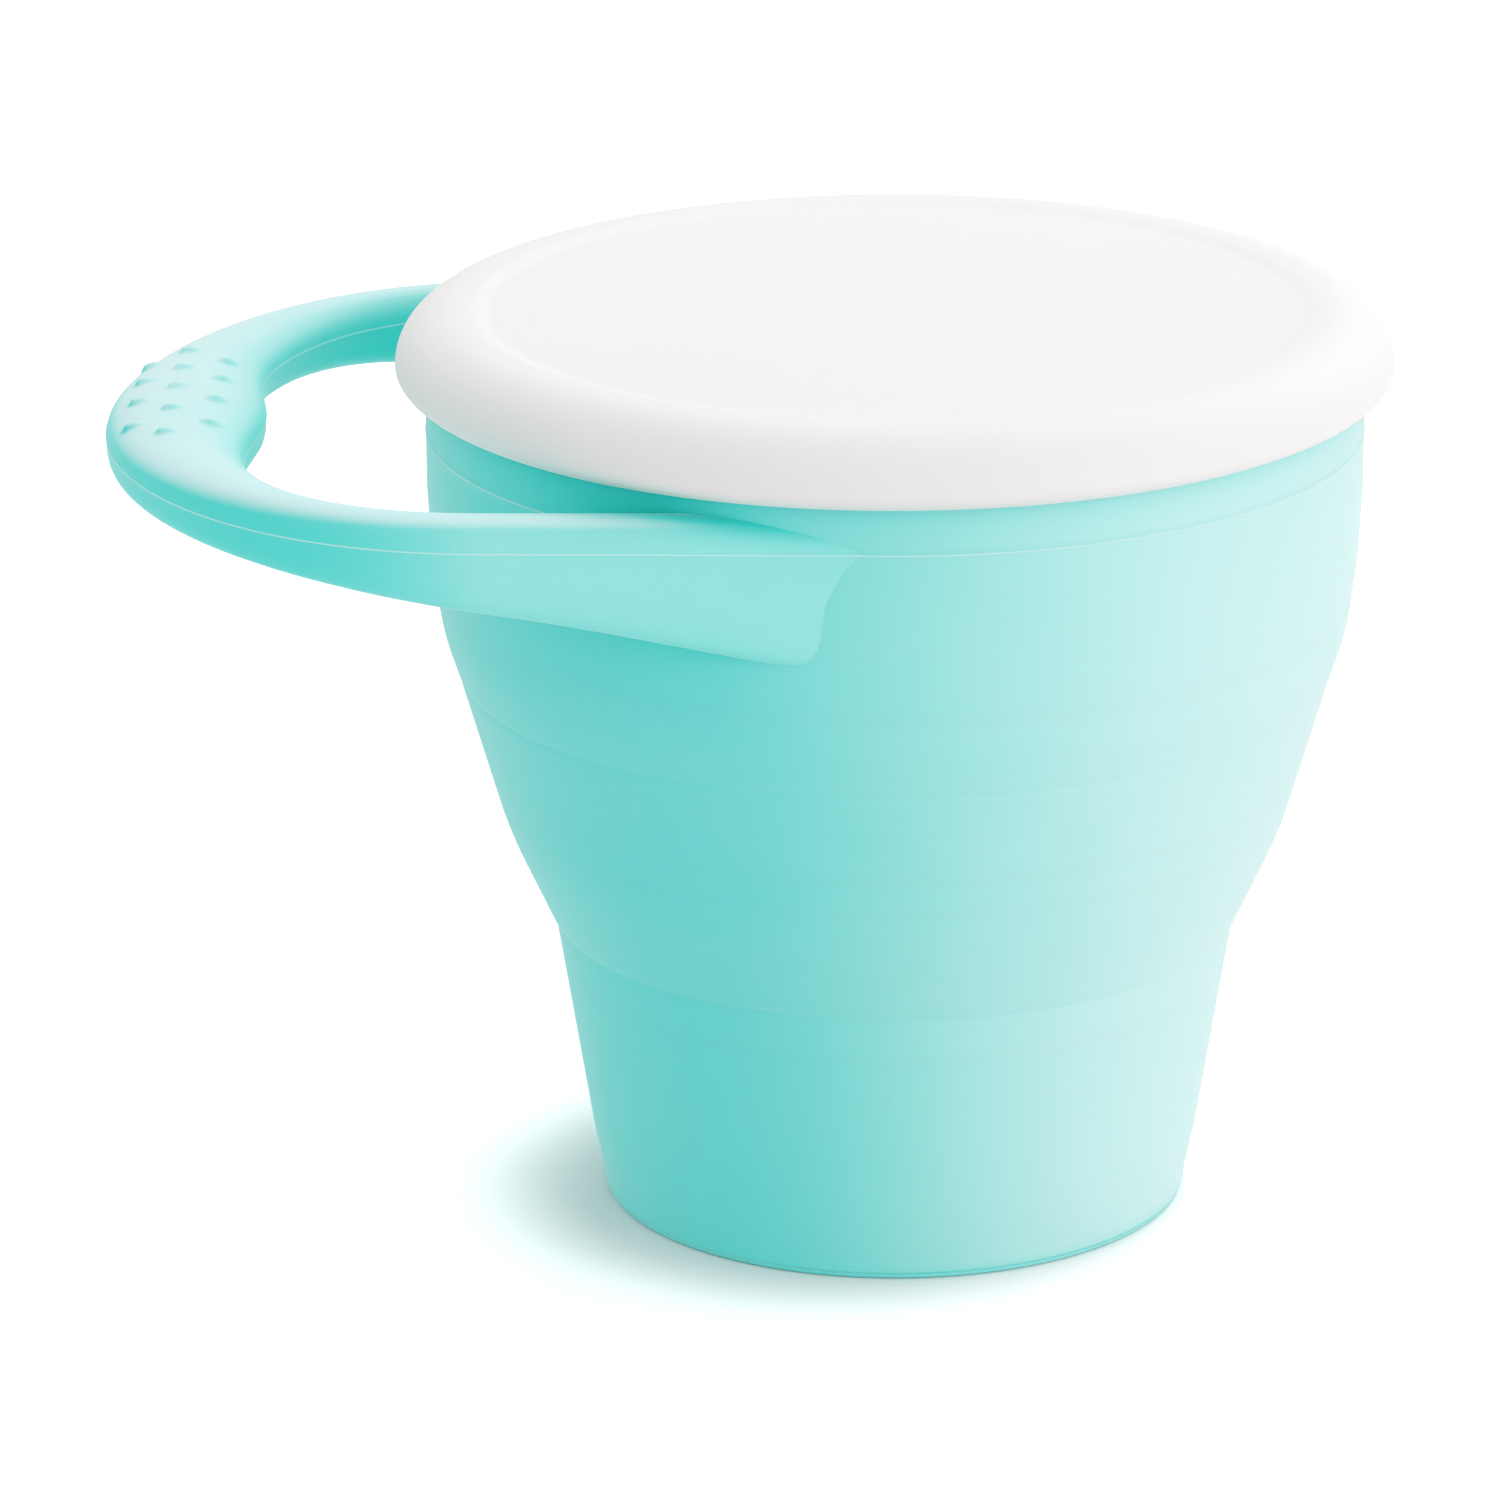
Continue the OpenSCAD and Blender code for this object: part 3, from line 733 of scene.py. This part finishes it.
def makeLidCover():
    d = lid
    panel = d["top"] - d["panelDepth"]
    flatEnd = d["radius"] - d["shoulder"][0]
    top = softCorners([
        (0, panel, 0), (d["panelEdge"] + d["panelFoot"], panel, d["panelRounding"]),
        (d["panelEdge"] + d["panelHead"], d["top"], d["panelRounding"]), (flatEnd, d["top"], 0)])
    shoulder = ellipseArc((flatEnd, d["wide"]), d["shoulder"], 90, 0, d["shoulderSteps"])
    hem = ellipseArc((flatEnd, d["wide"]), d["hem"], 0, d["hemTurn"], d["hemSteps"])
    turn = [(d["skirtInside"] + r, hem[-1][1] + z, rounding) for r, z, rounding in d["hemCorners"]]
    under = softCorners([(*hem[-1], 0)] + turn + [
        (d["skirtInside"], d["underside"], 0.4), (d["sealOut"], d["underside"], 0.3),
        (d["sealOut"], d["sealLow"], 0.5), (d["sealIn"], d["sealLow"], 0.5),
        (d["sealIn"], panel - d["thick"], 0.5), (0, panel - d["thick"], 0)])
    return turnOutline("lidCover", top[:-1] + shoulder + hem[1:] + under[1:], steps=d["spinSteps"])


lidCover = makeLidCover()
dressPiece(lidCover, "lid_plastic")
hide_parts("lid_cover")
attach(lidCover, "lid")
print("lid turned")


# Guard insert: the ring that hangs in the mouth, and its six flaps

guard = {
    # (r, z, rounding) of the ring as it is turned, in millimetres, from the opening's edge and round
    "outline": [
        (36.0, 85.5, 0), (36.0, 84.75, 0.5), (46.6, 84.75, 0.6), (46.6, 92.02, 0.3), (49.3, 92.02, 0.2),
        (49.3, 93.2, 0.5), (45.4, 93.2, 0.6), (45.4, 86.25, 0.9), (41.5, 86.25, 0.4), (36.0, 86.25, 0.5),
        (36.0, 85.5, 0),
    ],
    "turnStep": 15, "spinSteps": 288,
    "discRound": 41.5, "openTurned": 36.0, "openFlat": 33.15, "openCorner": 38.0,
    "foldZ": 85.5, "foldStart": 33.2, "foldEnd": 31.7, "slit": 0.5,
    # (distance from the axis, thickness) from the root inside the ring to the tip
    "flapLine": [
        (33.55, 0.5), (33.2, 0.42), (32.8, 0.4), (32.4, 0.4), (32.0, 0.4), (31.7, 0.44),
        (31.3, 0.66), (30.9, 1.0), (30.4, 1.22), (29.8, 1.3), (27, 1.3), (23, 1.3),
        (19, 1.3), (15, 1.3), (11, 1.3), (8, 1.3), (5.5, 1.28), (3.6, 1.2),
    ],
    "flapRows": 13, "flapEdge": 0.32, "edgeSteps": 3, "edgeOver": 60, "smoothBelow": 40,
    # the first stations are held narrow, to stay inside the ring, and the last ones bow to a round tip
    "rootStations": 3, "rootSpare": 0.3, "tipStations": 3, "tipRound": 0.6,
}
sixth = math.pi / 3


def makeGuardRing():
    g = guard
    outline = softCorners(g["outline"], turnStep=g["turnStep"])
    ring = turnOutline("guardRing", outline, steps=g["spinSteps"])
    # the turned opening is drawn out to six flat sides, one for each fold line
    span = g["discRound"] - g["openTurned"]
    for vert in ring.data.vertices:
        r = math.hypot(vert.co.x, vert.co.y) / mm
        if r < g["discRound"]:
            angle = math.atan2(vert.co.y, vert.co.x)
            side = (angle + sixth / 2) % sixth - sixth / 2
            opening = min(g["openFlat"] / math.cos(side), g["openCorner"])
            grown = (r + (opening - g["openTurned"]) * (g["discRound"] - r) / span) / r
            vert.co.x *= grown
            vert.co.y *= grown
    return ring


def makeGuardFlap(index):
    g = guard
    startFresh()
    line, rows = g["flapLine"], g["flapRows"]
    bpy.ops.mesh.primitive_grid_add(x_subdivisions=len(line) - 1, y_subdivisions=rows - 1, size=2)
    flap = bpy.context.object
    flap.name = flap.data.name = "guardFlap%d" % index
    bpy.ops.object.mode_set(mode="EDIT")
    bpy.ops.mesh.select_all(action="SELECT")
    bpy.ops.mesh.extrude_region_move(TRANSFORM_OT_translate={"value": (0, 0, -1)})
    bpy.ops.mesh.select_all(action="SELECT")
    bpy.ops.mesh.normals_make_consistent(inside=False)
    bpy.ops.object.mode_set(mode="OBJECT")
    turn = Matrix.Rotation(math.radians(60 * (index - 1)), 4, "Z")
    # the grid, 2 wide and 1 thick, is laid on the flap's stations: x runs from root to tip, y across
    for vert in flap.data.vertices:
        station = round((1 - vert.co.x) / 2 * (len(line) - 1))
        across = vert.co.y
        x, thick = line[station]
        half = x * math.tan(sixth / 2) - g["slit"] / 2 / math.cos(sixth / 2)
        if station < g["rootStations"]:
            half = min(half, g["foldEnd"] * math.tan(sixth / 2) + g["rootSpare"])
        x += g["tipRound"] * across * across * max(0, station - len(line) + g["tipStations"]) / 2
        z = g["foldZ"] + (thick / 2 if vert.co.z > -0.5 else -thick / 2)
        vert.co = turn @ (Vector((x, across * half, z)) * mm)
    startFresh()
    flap.select_set(True)
    bpy.context.view_layer.objects.active = flap
    bpy.ops.object.modifier_add(type="BEVEL")
    soft = flap.modifiers[-1]
    soft.width = g["flapEdge"] * mm
    soft.segments = g["edgeSteps"]
    soft.limit_method = "ANGLE"
    soft.angle_limit = math.radians(g["edgeOver"])
    bpy.ops.object.modifier_apply(modifier=soft.name)
    bpy.ops.object.shade_smooth_by_angle(angle=math.radians(g["smoothBelow"]))
    dressPiece(flap, "guard_silicone")
    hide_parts("guard_flap_%d" % index)
    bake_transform(flap)


guardRing = makeGuardRing()
dressPiece(guardRing, "guard_silicone")
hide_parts("guard_ring")
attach(guardRing, "collar")
for index in range(1, 7):
    makeGuardFlap(index)
print("guard ring turned and six flaps shaped")


# Studio: pale floor that runs up into the backdrop, soft lamps and the camera

studio = {
    # metres: the floor's sheet, how high it goes up behind, and the bend between the two
    "floorSize": 2.4, "floorPlace": (0, 0.3, -0.0001), "backFrom": 1.0, "backHigh": 1.6,
    "bend": 0.3, "bendSteps": 16, "bendOver": 40,
    # the floor is lifted to white for the camera, from none near shadowAt to all of it past seenRun
    "floorColour": (0.94, 0.89, 0.885), "floorSeen": (0.0, 0.42), "seenRun": (0.0275, 0.0430),
    "shadowAt": (-0.0055, -0.0015, 0.0), "floorMirrored": 0.39,
    "worldStrength": 0.785, "worldColour": (0.97, 0.99, 1.0), "backdrop": (1.0, 1.0, 1.0),
    "lampAim": (0, 0, 0.06),
}


def makeStudioFloor():
    startFresh()
    bpy.ops.mesh.primitive_plane_add(size=studio["floorSize"], location=studio["floorPlace"])
    floor = bpy.context.object
    floor.name = floor.data.name = "studioFloor"
    bpy.ops.object.mode_set(mode="EDIT")
    bpy.ops.mesh.select_all(action="DESELECT")
    bpy.ops.object.mode_set(mode="OBJECT")
    for edge in floor.data.edges:
        edge.select = all(floor.data.vertices[v].co.y > studio["backFrom"] for v in edge.vertices)
    bpy.ops.object.mode_set(mode="EDIT")
    bpy.context.tool_settings.mesh_select_mode = (False, True, False)
    bpy.ops.mesh.extrude_edges_move(TRANSFORM_OT_translate={"value": (0, 0, studio["backHigh"])})
    bpy.context.tool_settings.mesh_select_mode = (True, False, False)
    bpy.ops.object.mode_set(mode="OBJECT")
    bpy.ops.object.transform_apply(location=True, rotation=True, scale=True)
    bpy.ops.object.modifier_add(type="BEVEL")
    curve = floor.modifiers[-1]
    curve.width = studio["bend"]
    curve.segments = studio["bendSteps"]
    curve.limit_method = "ANGLE"
    curve.angle_limit = math.radians(studio["bendOver"])
    bpy.ops.object.modifier_apply(modifier=curve.name)
    bpy.ops.object.shade_smooth()
    paper = bpy.data.materials.new("studioPaper")
    paper.use_nodes = True
    tree = paper.node_tree
    tree.nodes.clear()
    out = addNode(tree, "ShaderNodeOutputMaterial", (600, 0))
    both = addNode(tree, "ShaderNodeAddShader", (400, 0))
    matte = addNode(tree, "ShaderNodeBsdfDiffuse", (100, 100))
    matte.inputs["Color"].default_value = (*studio["floorColour"], 1)
    lift = addNode(tree, "ShaderNodeEmission", (100, -100))
    ray = addNode(tree, "ShaderNodeLightPath", (-600, -200))
    place = addNode(tree, "ShaderNodeTexCoord", (-1000, -400))
    shift = addNode(tree, "ShaderNodeVectorMath", (-900, -400), operation="SUBTRACT")
    shift.inputs[1].default_value = studio["shadowAt"]
    away = addNode(tree, "ShaderNodeVectorMath", (-750, -400), operation="LENGTH")
    seen = addNode(tree, "ShaderNodeMapRange", (-600, -450), interpolation_type="SMOOTHSTEP")
    setRun(seen, studio["seenRun"])
    setRun(seen, studio["floorSeen"], "To")
    seenPart = addNode(tree, "ShaderNodeMath", (-350, -300), operation="MULTIPLY")
    mirroredPart = addNode(tree, "ShaderNodeMath", (-350, -100), operation="MULTIPLY")
    mirroredPart.inputs[1].default_value = studio["floorMirrored"]
    amount = addNode(tree, "ShaderNodeMath", (-100, -200), operation="ADD")
    link = tree.links.new
    link(place.outputs["Object"], shift.inputs[0])
    link(shift.outputs[0], away.inputs[0])
    link(away.outputs["Value"], seen.inputs["Value"])
    link(ray.outputs["Is Camera Ray"], seenPart.inputs[0])
    link(seen.outputs["Result"], seenPart.inputs[1])
    link(ray.outputs["Is Glossy Ray"], mirroredPart.inputs[0])
    link(seenPart.outputs[0], amount.inputs[0])
    link(mirroredPart.outputs[0], amount.inputs[1])
    link(amount.outputs[0], lift.inputs["Strength"])
    link(matte.outputs[0], both.inputs[0])
    link(lift.outputs[0], both.inputs[1])
    link(both.outputs[0], out.inputs["Surface"])
    floor.data.materials.append(paper)


def makeWorld():
    world = bpy.data.worlds.new("studioAir")
    bpy.context.scene.world = world
    world.use_nodes = True
    tree = world.node_tree
    tree.nodes.clear()
    out = addNode(tree, "ShaderNodeOutputWorld", (600, 0))
    shade = addNode(tree, "ShaderNodeBackground", (100, 100))
    shade.inputs["Color"].default_value = (*studio["worldColour"], 1)
    shade.inputs["Strength"].default_value = studio["worldStrength"]
    white = addNode(tree, "ShaderNodeBackground", (100, -100))
    white.inputs["Color"].default_value = (*studio["backdrop"], 1)
    ray = addNode(tree, "ShaderNodeLightPath", (-200, 300))
    pick = addNode(tree, "ShaderNodeMixShader", (350, 0))
    link = tree.links.new
    link(ray.outputs["Is Camera Ray"], pick.inputs[0])
    link(shade.outputs[0], pick.inputs[1])
    link(white.outputs[0], pick.inputs[2])
    link(pick.outputs[0], out.inputs["Surface"])


lamps = [
    # name, place, size, watts
    ("lowRight", (0.73, -0.51, 0.175), 0.70, 2.4),
    ("backTop", (0.206, 0.566, 0.719), 0.70, 2.3),
]


def hangLamp(name, place, size, watts):
    startFresh()
    bpy.ops.object.light_add(type="AREA", location=place)
    lamp = bpy.context.object
    lamp.name = name
    lamp.data.shape = "SQUARE"
    lamp.data.size = size
    lamp.data.energy = watts
    lamp.rotation_euler = (Vector(studio["lampAim"]) - Vector(place)).to_track_quat("-Z", "Y").to_euler()


makeStudioFloor()
makeWorld()
for row in lamps:
    hangLamp(*row)

view = {
    "place": (0, -0.85293, 0.32493), "down": 18.0, "left": 1.025, "roll": -0.2735,
    "lens": 203.62, "sensor": 36,
}
startFresh()
bpy.ops.object.camera_add()
camera = bpy.context.object
camera.name = "photoCamera"
camera.data.lens = view["lens"]
camera.data.sensor_width = view["sensor"]
camera.matrix_world = (
    Matrix.Translation(view["place"]) @ Matrix.Rotation(math.radians(view["left"]), 4, "Z")
    @ Matrix.Rotation(math.radians(90 - view["down"]), 4, "X")
    @ Matrix.Rotation(math.radians(view["roll"]), 4, "Z"))
bpy.context.scene.camera = camera
bpy.context.scene.view_settings.view_transform = "Standard"
print("studio set")

startFresh()
